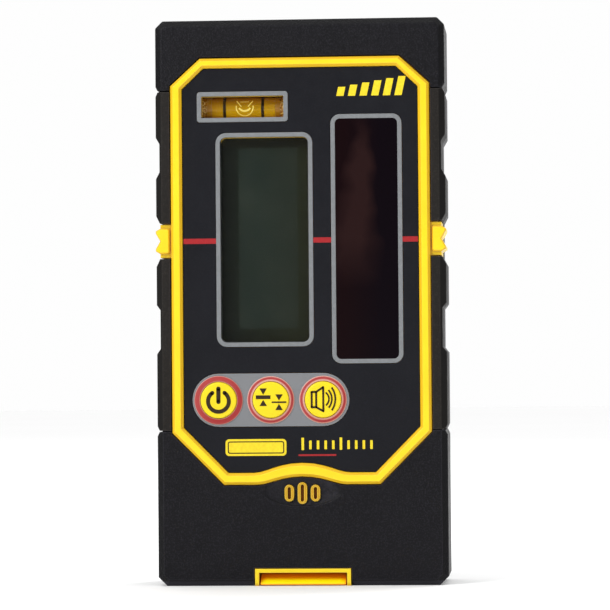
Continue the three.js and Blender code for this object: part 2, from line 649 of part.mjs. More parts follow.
// A threaded insert with a blind bore, closed at its front end.
const clampInsert = () =>
  turned([
    [0, 4.5],
    [INSERT.r - 0.6, 4.5],
    [INSERT.r, 5.1],
    [INSERT.r, SEAT_Y - 0.2],
    [INSERT.bore, SEAT_Y - 0.2],
    [INSERT.bore, 6.5],
    [0, 6],
  ]);

const magnet = () => rodZ(0, 0, MAGNET.r, 0, HEIGHT - CORE_HIGH - 0.2);

// A pan-head screw along Y, with its head towards the back and a hexagonal socket in it.
function screw({ shank, head, tipY, seatY }) {
  const height = head * 0.75;
  const blank = turned(
    [
      [0, tipY],
      [shank * 0.4, tipY],
      [shank, tipY + shank],
      [shank, seatY],
      [head, seatY],
      [head, seatY + height * 0.7],
      [head * 0.8, seatY + height],
      [0, seatY + height],
    ],
    HIDDEN_SIDES,
  );
  return cut(blank, rodY(0, 0, head * 0.45, seatY + height * 0.35, seatY + height + 1, 6));
}

const rearLabel = () => slab(roundedRect(LABEL), REAR_Y - 0.35, REAR_Y - 0.1);

// ---------------------------------------------------------------- materials
const plastic = (color, roughness) => new THREE.MeshStandardMaterial({ color, roughness, metalness: 0 });
const metal = (color) => new THREE.MeshStandardMaterial({ color, roughness: 0.35, metalness: 1 });
const clear = (color, opacity) =>
  new THREE.MeshStandardMaterial({ color, roughness: 0.05, metalness: 0, transparent: true, opacity });

const YELLOW = plastic(0xf8de20, 0.4);
const SKIN_BLACK = plastic(0x272629, 0.6);
const GRIP = plastic(0x302e2b, 0.75);
const CASE_BLACK = plastic(0x1d1d1f, 0.65);
const GRAPHITE = plastic(0x26262b, 0.35);
const KEY_GREY = plastic(0x93999d, 0.5);
const BOARD_GREEN = plastic(0x1c5a35, 0.5);
const WHITE = plastic(0xe4e4de, 0.5);
const DARK = plastic(0x141416, 0.4);
const SILVER_LABEL = plastic(0xb9bcbe, 0.45);
const STEEL = metal(0x9a9da1);
const BRASS = metal(0xc8a24a);

// ---------------------------------------------------------------- assembly
// Each piece is a named mesh, set down at a place in its group.
function add(group, name, solid, material, x = 0, y = 0, z = 0) {
  const mesh = new THREE.Mesh(geometryOf(solid), material);
  mesh.name = name;
  mesh.position.set(x, y, z);
  group.add(mesh);
}

function addScrews(group, name, size, places) {
  places.forEach(({ x, z }, i) => add(group, `${name}_${i + 1}`, screw(size), STEEL, x, 0, z));
}

function frontShell() {
  const group = new THREE.Group();
  add(group, "front_housing", frontHousing(), YELLOW);
  add(group, "top_cover", topCover(), SKIN_BLACK);
  add(group, "bottom_cover", bottomCover(), SKIN_BLACK);
  for (const [word, side] of [["left", -1], ["right", 1]]) {
    add(group, `grip_upper_${word}`, upperGrip(side), GRIP);
    add(group, `grip_lower_${word}`, lowerGrip(side), GRIP);
    add(group, `top_magnet_${word}`, magnet(), STEEL, side * MAGNET.x, MAGNET.y, CORE_HIGH + 0.1);
  }
  add(group, "faceplate", faceplate(), GRAPHITE);
  add(group, "display_window", lens(DISPLAY), clear(0x6f7f74, 0.35));
  add(group, "sensor_window", lens(SENSOR), clear(0x2a0a10, 0.8));
  add(group, "vial_window", lens(VIAL), clear(0xdfe4e6, 0.3));
  return group;
}

function keypad() {
  const group = new THREE.Group();
  add(group, "keypad_bezel", keypadBezel(), KEY_GREY);
  for (const { name, x } of KEYS) {
    add(group, `${name}_button`, keyCap(), YELLOW, x, 0, KEYPAD.z);
    add(group, `${name}_switch`, keySwitch(), DARK, x, 0, KEYPAD.z);
  }
  return group;
}

function displayStack() {
  const group = new THREE.Group();
  group.position.set(DISPLAY.x, 0, DISPLAY.z);
  add(group, "display_glass", displayGlass(), clear(0x4a554c, 0.9));
  add(group, "display_holder", displayHolder(), WHITE);
  add(group, "display_contact_strip", contactStrip(), plastic(0xd87f9a, 0.7));
  return group;
}

function sensorStack() {
  const group = new THREE.Group();
  group.position.set(SENSOR.x, 0, SENSOR.z);
  add(group, "sensor_board", sensorBoard(), BOARD_GREEN);
  add(group, "sensor_header", sensorHeader(), DARK);
  add(group, "photodiode_array", photodiodeArray(), DARK);
  return group;
}

function electronics() {
  const group = new THREE.Group();
  group.add(displayStack(), sensorStack());
  add(group, "main_board", mainBoard(), BOARD_GREEN);
  add(group, "controller_chip", controllerChip(), DARK, 0, 0, 90);
  add(group, "vial_tube", vialTube(), clear(0xd9a310, 0.6), VIAL.x, 0, VIAL.z);
  add(group, "vial_holder", vialHolder(), YELLOW, VIAL.x, 0, VIAL.z);
  add(group, "sounder", sounder(), DARK, 0, 0, SLOT_Z);
  addScrews(group, "board_screw", BOARD_SCREW, boardScrewPlaces);
  return group;
}

function rearShell() {
  const group = new THREE.Group();
  add(group, "rear_housing", rearHousing(), CASE_BLACK);
  add(group, "case_gasket", gasketRing(), plastic(0x3a3a3c, 0.9));
  add(group, "clamp_insert", clampInsert(), BRASS, 0, 0, GRADE_Z);
  add(group, "rear_label", rearLabel(), SILVER_LABEL);
  addScrews(group, "case_screw", CASE_SCREW, screwPlaces);
  return group;
}

function power() {
  const group = new THREE.Group();
  add(group, "battery", battery(), plastic(0xb98b3a, 0.4));
  add(group, "battery_snap", batterySnap(), DARK);
  add(group, "battery_lead_red", lead(2.2), plastic(0xb01818, 0.5), LEAD_X);
  add(group, "battery_lead_black", lead(4.6), plastic(0x101010, 0.5), LEAD_X + LEAD_PITCH);
  add(group, "battery_door", batteryDoor(), CASE_BLACK);
  add(group, "battery_latch", batteryLatch(), YELLOW);
  return group;
}

const detector = new THREE.Group();
detector.add(frontShell(), keypad(), electronics(), rearShell(), power());

export default detector;
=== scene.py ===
"""A laser line detector, finished over its CAD frame and standing on a pale floor.

Lengths are in metres in the frame's own axes: X to the right, Y from the front to the back, Z up.
"""
import math

import bmesh
import bpy
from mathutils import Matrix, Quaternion, Vector


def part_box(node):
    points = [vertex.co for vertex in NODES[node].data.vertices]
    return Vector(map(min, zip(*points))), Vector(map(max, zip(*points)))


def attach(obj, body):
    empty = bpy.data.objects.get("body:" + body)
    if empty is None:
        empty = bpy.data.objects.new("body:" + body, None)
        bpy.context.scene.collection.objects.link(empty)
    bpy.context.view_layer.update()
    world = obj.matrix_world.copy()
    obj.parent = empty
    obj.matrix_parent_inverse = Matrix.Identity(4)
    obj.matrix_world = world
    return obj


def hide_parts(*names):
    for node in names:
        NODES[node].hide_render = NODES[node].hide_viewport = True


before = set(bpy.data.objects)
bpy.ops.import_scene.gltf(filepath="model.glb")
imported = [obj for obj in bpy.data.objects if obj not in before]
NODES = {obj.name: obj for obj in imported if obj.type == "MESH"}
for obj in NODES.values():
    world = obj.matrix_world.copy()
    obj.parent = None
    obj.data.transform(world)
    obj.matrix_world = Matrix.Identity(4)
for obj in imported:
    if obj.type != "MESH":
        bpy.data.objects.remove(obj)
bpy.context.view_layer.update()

MM = 0.001


# Where looks change on the front: the sounder's slots with their collars and oval dish, the painted highlight
# along the foot, and how far back the raised yellow frame goes, behind which painted amber shade starts.
SLOT_PITCH = 3.6 * MM
SLOT_Z = 25.4 * MM
COLLARS_HALF = 5.5 * MM
COLLARS_LOW = 20.2 * MM
COLLARS_HIGH = 29.2 * MM
DISH_HALF_X = 10.4 * MM
DISH_HALF_Z = 4.0 * MM
DISH_Z = 26 * MM
FOOT_HIGH = 1.3 * MM
FRAME_BACK = -11.75 * MM


# ---------------------------------------------------------------- looks
class Look:
    """A material being built: one Principled shader, and the nodes that vary it over the surface."""

    def __init__(self, name, colour, roughness, **sockets):
        self.material = bpy.data.materials.new(name)
        self.material.use_nodes = True
        self.tree = self.material.node_tree
        self.shader = self.tree.nodes["Principled BSDF"]
        self.shader.inputs["Base Color"].default_value = (*colour, 1)
        self.shader.inputs["Roughness"].default_value = roughness
        for socket, value in sockets.items():
            self.shader.inputs[socket.replace("_", " ")].default_value = value
        self.place = self.node("ShaderNodeTexCoord").outputs["Object"]

    def node(self, kind, **inputs):
        made = self.tree.nodes.new(kind)
        for socket, value in inputs.items():
            self.feed(made.inputs[socket.replace("_", " ")], value)
        return made

    def feed(self, socket, value):
        if isinstance(value, bpy.types.NodeSocket):
            self.tree.links.new(value, socket)
        else:
            socket.default_value = value

    def math(self, operation, a, b=0.0):
        made = self.node("ShaderNodeMath")
        made.operation = operation
        self.feed(made.inputs[0], a)
        self.feed(made.inputs[1], b)
        return made.outputs[0]

    def axis(self, name):
        return self.node("ShaderNodeSeparateXYZ", Vector=self.place).outputs[name]

    def noise(self, size, detail=2.0, stretch=(1, 1, 1)):
        """Cloudy noise, between 0 and 1, whose blobs are about this big."""
        mapped = self.node("ShaderNodeMapping", Vector=self.place)
        mapped.inputs["Scale"].default_value = stretch
        return self.node(
            "ShaderNodeTexNoise", Vector=mapped.outputs[0], Scale=1 / size, Detail=detail
        ).outputs["Fac"]

    def span(self, value, low, high, to_low=0.0, to_high=1.0):
        """Maps low..high of a value to to_low..to_high, held level outside."""
        made = self.node("ShaderNodeMapRange", Value=value)
        numbers = {"From Min": low, "From Max": high, "To Min": to_low, "To Max": to_high}
        for socket, number in numbers.items():
            made.inputs[socket].default_value = number
        return made.outputs["Result"]

    def blend(self, factor, first, second):
        """A colour between two colours or colour sockets."""
        made = self.tree.nodes.new("ShaderNodeMix")
        made.data_type = "RGBA"
        self.feed(made.inputs[0], factor)
        for socket, colour in ((made.inputs[6], first), (made.inputs[7], second)):
            self.feed(socket, colour if isinstance(colour, bpy.types.NodeSocket) else (*colour, 1))
        return made.outputs[2]

    def edges(self, radius):
        """1 near a convex or concave edge, 0 on open surface."""
        rounded = self.node("ShaderNodeBevel", Radius=radius).outputs[0]
        plain = self.node("ShaderNodeNewGeometry").outputs["Normal"]
        dot = self.tree.nodes.new("ShaderNodeVectorMath")
        dot.operation = "DOT_PRODUCT"
        self.feed(dot.inputs[0], rounded)
        self.feed(dot.inputs[1], plain)
        return self.span(dot.outputs["Value"], 1.0, 0.88)

    def faces_front(self):
        """1 on faces towards the front or the back, 0 on the bevels and sides."""
        normal = self.node("ShaderNodeNewGeometry").outputs["True Normal"]
        split = self.node("ShaderNodeSeparateXYZ", Vector=normal)
        return self.span(self.math("ABSOLUTE", split.outputs["Y"]), 0.78, 0.95)

    def openness(self, reach):
        """1 on open surface, towards 0 down in gaps and against taller walls."""
        made = self.node("ShaderNodeAmbientOcclusion", Distance=reach)
        made.samples = 8
        return made.outputs["AO"]

    def colour(self, value):
        self.feed(self.shader.inputs["Base Color"], value)

    def roughness(self, value):
        self.feed(self.shader.inputs["Roughness"], value)

    def bump(self, *layers):
        """Raised detail, from pairs of a height between 0 and 1 and its full depth."""
        normal = None
        for height, depth in layers:
            made = self.node("ShaderNodeBump", Height=height, Distance=depth, Strength=1.0)
            if normal:
                self.feed(made.inputs["Normal"], normal)
            normal = made.outputs[0]
        self.feed(self.shader.inputs["Normal"], normal)
        return self


def tint(colour, factor):
    """A colour made lighter or darker."""
    return tuple(channel * factor for channel in colour)


def moulded(name, colour, roughness, grain=0.35 * MM, depth=0.012 * MM, edge_paling=1.5, specks=0.35, bevel_shade=1.0,
            dish_and_foot_highlight=False, **sockets):
    """Moulded plastic: grain, a slow change of tone and gloss, paler edges that are partly wear and partly a
    painted highlight along the creases, and bevels and sides darkened as painted shade.

    It can also be painted paler in the sounder's dish and along its foot, as painted highlights.
    """
    look = Look(name, colour, roughness, **sockets)
    slow = look.span(look.noise(14 * MM, 3), 0.35, 0.65)
    fine = look.noise(grain, 2)
    toned = look.blend(slow, tint(colour, 0.92), tint(colour, 1.08))
    speckled = look.blend(look.span(fine, 0.5, 0.7, 0, specks), toned, tint(colour, 2.2))
    # Painted shade: the bevels and sides, away from the front and back, are painted darker.
    if bevel_shade < 1:
        speckled = look.blend(look.faces_front(), tint(colour, bevel_shade), speckled)
    if dish_and_foot_highlight:
        # Painted highlight in the sounder's dish.
        speckled = look.blend(painted_dish_highlight(look), speckled, tint(colour, 3.6))
        # Painted highlight along the foot, on the bevel just above the floor.
        foot = look.span(look.axis("Z"), FOOT_HIGH + 0.2 * MM, FOOT_HIGH - 0.2 * MM)
        speckled = look.blend(foot, speckled, tint(colour, 3.5))
    # Paler edges: partly wear, and partly a painted highlight along the creases.
    at_edges = look.math("MULTIPLY", look.edges(0.35 * MM), 0.9)
    look.colour(look.blend(at_edges, speckled, tint(colour, edge_paling)))
    look.roughness(look.span(look.noise(3 * MM, 4), 0.3, 0.7, roughness - 0.07, roughness + 0.07))
    return look.bump((fine, depth), (look.noise(grain * 4, 2), depth)).material


def painted_dish_highlight(look):
    """How much painted highlight the sounder's oval dish gets: most at its upper right, nothing outside it.
    """
    across = look.math("DIVIDE", look.axis("X"), DISH_HALF_X)
    up = look.math("DIVIDE", look.math("SUBTRACT", look.axis("Z"), DISH_Z), DISH_HALF_Z)
    far = look.math("ADD", look.math("MULTIPLY", across, across), look.math("MULTIPLY", up, up))
    inside = look.math("MULTIPLY", look.span(far, 1.0, 0.8), look.span(look.axis("Y"), 0, -10 * MM))
    high = look.span(up, -0.7, 0.6, 0.1, 0.45)
    patchy = look.span(look.noise(1.2 * MM, 3), 0.4, 0.6)
    right = look.math("MULTIPLY", look.span(across, 0.45, 0.7, 0, 0.5), patchy)
    return look.math("MULTIPLY", inside, look.math("ADD", high, right))


def on_collars(look):
    """1 on the sounder's three collars, 0 elsewhere."""
    across = look.math("ABSOLUTE", look.axis("X"))
    beside = look.span(across, COLLARS_HALF + 0.1 * MM, COLLARS_HALF - 0.1 * MM)
    below = look.span(look.axis("Z"), COLLARS_HIGH + 0.1 * MM, COLLARS_HIGH - 0.2 * MM)
    above = look.span(look.axis("Z"), COLLARS_LOW - 0.2 * MM, COLLARS_LOW + 0.3 * MM)
    return look.math("MULTIPLY", look.math("MULTIPLY", beside, below), above)


def smooth_plastic(name, colour, roughness, hollow_shade=None, reach=1.1 * MM, collars=None, **sockets):
    """Smooth moulded plastic with faint waviness and handling marks in its gloss.

    The colour for hollows is painted into its hollows and gaps as painted shade. The collars' colour is
    painted shade on the sounder's collars, with paler rims as a painted highlight, on a body whose front
    frame gets painted amber shade.
    """
    look = Look(name, colour, roughness, **sockets)
    slow = look.span(look.noise(9 * MM, 3), 0.3, 0.7)
    toned = look.blend(slow, tint(colour, 0.95), tint(colour, 1.03))
    if hollow_shade:
        # Painted shade: hollows, gaps and the pocket under the latch's lip are painted a darker orange.
        toned = look.blend(look.span(look.openness(reach), 0.42, 1.0), hollow_shade, toned)
    if collars:
        # Painted shade: the frame's flanks, and the walls behind the frame, are painted amber.
        behind = look.span(look.axis("Y"), FRAME_BACK + 0.25 * MM, FRAME_BACK - 0.25 * MM, 1, 0)
        toned = look.blend(look.math("MAXIMUM", behind, look.faces_front()), FRAME_SHADE_AMBER, toned)
        # Painted shade on the collars' faces, with their rims left paler as a painted highlight.
        rim = look.span(look.edges(0.5 * MM), 0.1, 0.9)
        toned = look.blend(on_collars(look), toned, look.blend(rim, collars, tint(colour, 0.8)))
    edge_paling = look.blend(0.35, colour, (0.9, 0.9, 0.86))
    at_edges = look.math("MULTIPLY", look.edges(0.25 * MM), 0.35)
    look.colour(look.blend(at_edges, toned, edge_paling))
    look.roughness(look.span(look.noise(1.6 * MM, 4), 0.35, 0.65, roughness - 0.06, roughness + 0.08))
    return look.bump((look.noise(1.2 * MM, 2), 0.006 * MM)).material


def printed(name, colour, roughness=0.45):
    """Screen-printed ink, slightly uneven."""
    look = Look(name, colour, roughness, Specular_IOR_Level=0.3)
    uneven = look.span(look.noise(0.8 * MM, 3), 0.35, 0.65)
    look.colour(look.blend(uneven, tint(colour, 0.93), tint(colour, 1.05)))
    return look.bump((look.noise(0.25 * MM, 2), 0.004 * MM)).material


def metal(name, colour, roughness, scratch=0.3 * MM):
    """Plated or turned metal with fine scratches round it."""
    look = Look(name, colour, roughness, Metallic=1.0)
    lines = look.noise(scratch, 3, stretch=(1, 12, 1))
    look.colour(look.blend(look.span(lines, 0.4, 0.7), tint(colour, 0.8), colour))
    look.roughness(look.span(lines, 0.3, 0.7, roughness - 0.08, roughness + 0.12))
    return look.bump((lines, 0.004 * MM)).material


def board_look(name):
    """Solder mask over copper tracks."""
    look = Look(name, (0.01, 0.09, 0.03), 0.35)
    upright = look.node("ShaderNodeMapping", Vector=look.place, Rotation=(math.radians(90), 0, 0))
    tracks = look.node("ShaderNodeTexBrick", Vector=upright.outputs[0], Scale=260.0)
    tracks.inputs["Mortar Size"].default_value = 0.05
    ways = look.math("SUBTRACT", 1.0, tracks.outputs["Fac"])
    look.colour(look.blend(ways, (0.02, 0.16, 0.05), (0.008, 0.08, 0.028)))
    return look.bump((look.noise(0.6 * MM, 2), 0.01 * MM)).material


def display_look(name, low, high):
    """An unlit liquid-crystal panel: a grey-green field inside a darker margin, painted as shade from the
    window's frame.
    """
    look = Look(name, (0.02, 0.028, 0.022), 0.3, Specular_IOR_Level=0.1)
    across = look.span(look.axis("X"), low.x, high.x)
    up = look.span(look.axis("Z"), low.z, high.z)
    cloud = look.span(look.noise(11 * MM, 3), 0.32, 0.68)
    field = look.blend(cloud, (0.0150, 0.0235, 0.0185), (0.0265, 0.0365, 0.0275))
    field = look.blend(look.span(across, 0.45, 0.8, 0, 0.5), field, (0.0240, 0.0290, 0.0185))
    # Painted shade from the window's frame: a darker margin, widest at the left and darkest along the top.
    margin_shade = look.blend(look.span(across, 0.1, 0.85), (0.0085, 0.0115, 0.0090), (0.0185, 0.0215, 0.0105))
    margin_shade = look.blend(look.span(up, 0.93, 0.945), margin_shade, (0.0120, 0.0125, 0.0080))
    inside = look.math("MULTIPLY", look.span(across, 0.205, 0.235), look.span(across, 0.85, 0.83))
    inside = look.math("MULTIPLY", inside, look.span(up, 0.942, 0.93))
    inside = look.math("MULTIPLY", inside, look.span(up, 0.075, 0.088))
    scratches = look.span(look.noise(1.4 * MM, 4, stretch=(6, 1, 1)), 0.66, 0.72, 0, 0.25)
    look.colour(look.blend(scratches, look.blend(inside, margin_shade, field), (0.06, 0.07, 0.06)))
    return look.bump((look.noise(0.12 * MM, 1), 0.002 * MM)).material


def filter_look(name, low, high):
    """A near-black red filter, with a dull brown-red bloom where light scatters inside it."""
    look = Look(name, (0.0045, 0.0018, 0.003), 0.2, Specular_IOR_Level=0.07)
    across = look.span(look.axis("X"), low.x, high.x, -1, 1)
    up = look.span(look.axis("Z"), low.z, high.z)
    wander = look.span(look.noise(14 * MM, 2), 0.3, 0.7, -0.25, 0.25)
    middle = look.math("ADD", look.span(up, 0.55, 0.95, -0.38, -0.05), wander)
    offset = look.math("ABSOLUTE", look.math("SUBTRACT", across, middle))
    narrow = look.span(up, 0.5, 0.95, 0.75, 0.3)
    stripe = look.span(look.math("DIVIDE", offset, narrow), 1.0, 0.3)
    stretch = look.math("MULTIPLY", look.span(up, 0.3, 0.5), look.span(up, 1.0, 0.85))
    bloom = look.math("MULTIPLY", stripe, stretch)
    dark = look.blend(look.span(across, -0.6, 0.4), (0.0065, 0.0020, 0.0028), (0.0034, 0.0016, 0.0034))
    look.colour(look.blend(bloom, dark, (0.0195, 0.0080, 0.0080)))
    return look.bump((look.noise(6 * MM, 1), 0.003 * MM)).material


def vial_look(name, low, high):
    """Amber liquid in its tube, lighter towards the bottom where it gathers the light."""
    look = Look(name, (0.36, 0.19, 0.003), 0.22, Specular_IOR_Level=0.12)
    up = look.span(look.axis("Z"), low.z, high.z)
    across = look.span(look.axis("X"), low.x, high.x)
    graded = look.blend(look.span(up, 0.1, 0.85), (0.72, 0.46, 0.004), (0.42, 0.19, 0.002))
    redder = look.math("MULTIPLY", look.span(across, 0.35, 0.1), 0.45)
    look.colour(look.blend(redder, graded, (0.36, 0.14, 0.001)))
    return look.bump((look.noise(2.5 * MM, 2), 0.01 * MM)).material


def cement_look(name):
    """Clear cement in the vial's ends, its pale lumps painted in as glints."""
    look = Look(name, (0.55, 0.30, 0.01), 0.15, Specular_IOR_Level=0.5)
    painted_glints = look.span(look.noise(0.5 * MM, 3), 0.48, 0.62)
    look.colour(look.blend(painted_glints, (0.36, 0.14, 0.002), (0.85, 0.66, 0.22)))
    return look.bump((look.noise(0.6 * MM, 3), 0.2 * MM)).material


def ring_look(name, x, z, red_from, red_to):
    """A red ring whose flanks turn a pale pink as a painted highlight, and which is painted lighter towards
    its upper left as light from that side.
    """
    look = Look(name, (0.33, 0.03, 0.03), 0.35, Specular_IOR_Level=0.4)
    dx = look.math("SUBTRACT", look.axis("X"), x)
    dz = look.math("SUBTRACT", look.axis("Z"), z)
    squares = look.math("ADD", look.math("MULTIPLY", dx, dx), look.math("MULTIPLY", dz, dz))
    away = look.math("SQRT", squares)
    soft = 0.14 * MM
    within = look.span(away, red_from - soft, red_from + soft)
    core = look.math("MULTIPLY", within, look.span(away, red_to + soft, red_to - soft))
    # Painted light: the ring is lighter towards its upper left, where the key light comes from.
    side = look.span(look.math("SUBTRACT", dx, dz), -5 * MM, 5 * MM, 0.0, 1.0)
    pale = look.blend(side, (0.66, 0.36, 0.31), (0.56, 0.27, 0.20))
    red = look.blend(side, (0.40, 0.045, 0.042), (0.33, 0.022, 0.022))
    look.colour(look.blend(core, pale, red))
    return look.bump((look.noise(0.5 * MM, 2), 0.006 * MM)).material


def clear_look(name, colour, alpha):
    """A clear window, seen mostly by what it reflects."""
    look = Look(name, colour, 0.04, Alpha=alpha, Specular_IOR_Level=0.3)
    look.roughness(look.span(look.noise(5 * MM, 3), 0.3, 0.7, 0.03, 0.09))
    return look.bump((look.noise(7 * MM, 1), 0.003 * MM)).material


FRAME_SHADE_AMBER = (0.82, 0.49, 0.008)
YELLOW = smooth_plastic("yellow_plastic", (0.93, 0.69, 0.012), 0.36, hollow_shade=(0.40, 0.15, 0.002),
                        collars=(0.54, 0.28, 0.008), Specular_IOR_Level=0.35)
LATCH = smooth_plastic("latch_plastic", (1.0, 0.90, 0.002), 0.4, hollow_shade=(1.0, 0.30, 0.001), reach=2.2 * MM,
                       Specular_IOR_Level=0.2)
COVER = moulded("cover_plastic", (0.0068, 0.0065, 0.0082), 0.42, grain=0.42 * MM, depth=0.14 * MM, specks=1.5,
                edge_paling=6.0, bevel_shade=0.6, dish_and_foot_highlight=True, Specular_IOR_Level=0.12)
GRIP = moulded("grip_rubber", (0.0150, 0.0132, 0.0118), 0.6, grain=0.35 * MM, depth=0.03 * MM, specks=0.6,
               edge_paling=4.5, bevel_shade=0.5, Specular_IOR_Level=0.12)
REAR = moulded("rear_plastic", (0.0100, 0.0098, 0.0110), 0.46, grain=0.5 * MM, depth=0.07 * MM, specks=0.6,
               edge_paling=4.0, bevel_shade=0.6, Specular_IOR_Level=0.18)
PANEL = moulded("panel_plastic", (0.0100, 0.0103, 0.0132), 0.38, grain=0.2 * MM, depth=0.006 * MM,
                Specular_IOR_Level=0.1)
BEZEL = smooth_plastic("keypad_plastic", (0.205, 0.210, 0.222), 0.42, Specular_IOR_Level=0.3)
KEY = smooth_plastic("key_rubber", (0.90, 0.68, 0.010), 0.42, Specular_IOR_Level=0.3)
DARK = moulded("dark_plastic", (0.012, 0.012, 0.013), 0.4)
WHITE = smooth_plastic("white_plastic", (0.72, 0.72, 0.68), 0.5)
RUBBER = moulded("seal_rubber", (0.03, 0.03, 0.031), 0.8)
BORDER_INK = printed("border_ink", (0.205, 0.215, 0.225))
RED_INK = printed("red_ink", (0.36, 0.013, 0.017))
# The vial bubble's glints: painted highlights, made to glow faintly.
GLINT = smooth_plastic("vial_glint", (0.95, 0.80, 0.12), 0.2, Emission_Color=(1.0, 0.8, 0.16, 1.0),
                       Emission_Strength=0.22)
YELLOW_INK = printed("yellow_ink", (0.86, 0.66, 0.02))
MARK_INK = printed("mark_ink", (0.026, 0.013, 0.002))
SILVER_INK = printed("label_film", (0.42, 0.43, 0.44), 0.35)
STEEL = metal("zinc_steel", (0.56, 0.57, 0.58), 0.32)
NICKEL = metal("nickel", (0.66, 0.65, 0.62), 0.2, scratch=0.15 * MM)
BRASS = metal("brass", (0.72, 0.48, 0.16), 0.3)
BOARD = board_look("circuit_board")


# ---------------------------------------------------------------- building pieces
SHARP_FROM = 28
TURNED_SIDES = 72
WELD = 0.001 * MM


def shown(name, mesh, look, body="case", replaced=()):
    """Puts a piece in the scene, riding on its CAD body."""
    piece = bpy.data.objects.new(name, mesh)
    bpy.context.scene.collection.objects.link(piece)
    mesh.materials.append(look)
    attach(piece, body)
    if replaced:
        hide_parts(*replaced)
    return piece


def mesh_of(name, bm, smooth=True):
    bmesh.ops.remove_doubles(bm, verts=bm.verts, dist=WELD)
    bmesh.ops.recalc_face_normals(bm, faces=bm.faces)
    mesh = bpy.data.meshes.new(name)
    bm.to_mesh(mesh)
    bm.free()
    if smooth:
        mesh.shade_smooth()
    return mesh


def soften(piece, width):
    """Rounds the sharp edges of a piece and evens its shading."""
    bevel = piece.modifiers.new("round", "BEVEL")
    bevel.width = width
    bevel.segments = 3
    bevel.limit_method = "ANGLE"
    bevel.angle_limit = math.radians(SHARP_FROM)
    bevel.use_clamp_overlap = True
    normals = piece.modifiers.new("normals", "WEIGHTED_NORMAL")
    normals.keep_sharp = False
    normals.weight = 100
    return piece


def arc(x, z, r, start, end, steps):
    """Points round a centre, between two angles in degrees."""
    turn = math.radians(end - start) / steps
    return [
        (x + r * math.cos(math.radians(start) + i * turn), z + r * math.sin(math.radians(start) + i * turn))
        for i in range(steps + 1)
    ]


def rounded_rect(x, z, w, h, r, steps=8):
    """The outline of a rectangle with round corners, about its centre."""
    dx, dz = w / 2 - r, h / 2 - r
    corners = ((dx, dz, 0), (-dx, dz, 90), (-dx, -dz, 180), (dx, -dz, 270))
    return [point for cx, cz, start in corners for point in arc(x + cx, z + cz, r, start, start + 90, steps)]


def stroke(points, width):
    """The outline of a line of this width along some points."""
    left, right = [], []
    for i, (x, z) in enumerate(points):
        before, after = points[max(i - 1, 0)], points[min(i + 1, len(points) - 1)]
        along = Vector((after[0] - before[0], after[1] - before[1])).normalized()
        left.append((x - along.y * width / 2, z + along.x * width / 2))
        right.append((x + along.y * width / 2, z - along.x * width / 2))
    return left + right[::-1]


def add_slab(bm, outline, front, back, holes=()):
    """Adds a flat plate of an outline in X and Z, with holes, between two depths."""
    edges = []
    for loop in (outline, *holes):
        verts = [bm.verts.new((x, front, z)) for x, z in loop]
        edges += [bm.edges.new((verts[i - 1], verts[i])) for i in range(len(verts))]
    faces = [g for g in bmesh.ops.triangle_fill(bm, use_beauty=True, edges=edges)["geom"]
             if isinstance(g, bmesh.types.BMFace)]
    moved = bmesh.ops.extrude_face_region(bm, geom=faces)["geom"]
    verts = [g for g in moved if isinstance(g, bmesh.types.BMVert)]
    bmesh.ops.translate(bm, vec=(0, back - front, 0), verts=verts)


def slab(name, outlines, front, back, look, holes=(), body="case", replaced=(), rounding=0.0):
    """One plate, or several side by side, as a piece."""
    bm = bmesh.new()
    for outline in outlines:
        add_slab(bm, outline, front, back, holes)
    piece = shown(name, mesh_of(name, bm, smooth=bool(rounding)), look, body, replaced)
    return soften(piece, rounding) if rounding else piece


def turned(name, x, z, profile, look, body="case", replaced=()):
    """A piece turned about a line along Y, from a profile of (radius, depth)."""
    bm = bmesh.new()
    rings = []
    for radius, depth in profile:
        if radius < 1e-7:
            rings.append([bm.verts.new((x, depth, z))])
        else:
            circle = arc(x, z, radius, 0, 360, TURNED_SIDES)[:-1]
            rings.append([bm.verts.new((px, depth, pz)) for px, pz in circle])
    for first, second in zip(rings, rings[1:]):
        for i in range(TURNED_SIDES):
            corners = [first[i % len(first)], first[(i + 1) % len(first)],
                       second[(i + 1) % len(second)], second[i % len(second)]]
            bm.faces.new(dict.fromkeys(corners))
    return shown(name, mesh_of(name, bm), look, body, replaced)


def smoothing_group():
    """Geometry nodes that only turn smooth shading on."""
    group = bpy.data.node_groups.new("shade_smooth", "GeometryNodeTree")
    group.interface.new_socket("Geometry", in_out="INPUT", socket_type="NodeSocketGeometry")
    group.interface.new_socket("Geometry", in_out="OUTPUT", socket_type="NodeSocketGeometry")
    source = group.nodes.new("NodeGroupInput")
    smooth = group.nodes.new("GeometryNodeSetShadeSmooth")
    result = group.nodes.new("NodeGroupOutput")
    group.links.new(source.outputs[0], smooth.inputs["Geometry"])
    group.links.new(smooth.outputs[0], result.inputs[0])
    return group


SMOOTH = smoothing_group()


def finish_node(node, look, width):
    """Gives a CAD node its material and rounds its edges, without touching its mesh.

    Its flat faces are made whole and then split into triangles, because a bevel folds over on faces that
    have holes.
    """
    cad = NODES[node]
    cad.material_slots[0].link = "OBJECT"
    cad.material_slots[0].material = look
    if not width:
        return
    weld = cad.modifiers.new("weld", "WELD")
    weld.merge_threshold = 0.002 * MM
    flat = cad.modifiers.new("flat", "DECIMATE")
    flat.decimate_type = "DISSOLVE"
    flat.angle_limit = math.radians(0.6)
    cad.modifiers.new("split", "TRIANGULATE")
    smooth = cad.modifiers.new("smooth", "NODES")
    smooth.node_group = SMOOTH
    soften(cad, width)
    cad.modifiers["round"].loop_slide = False


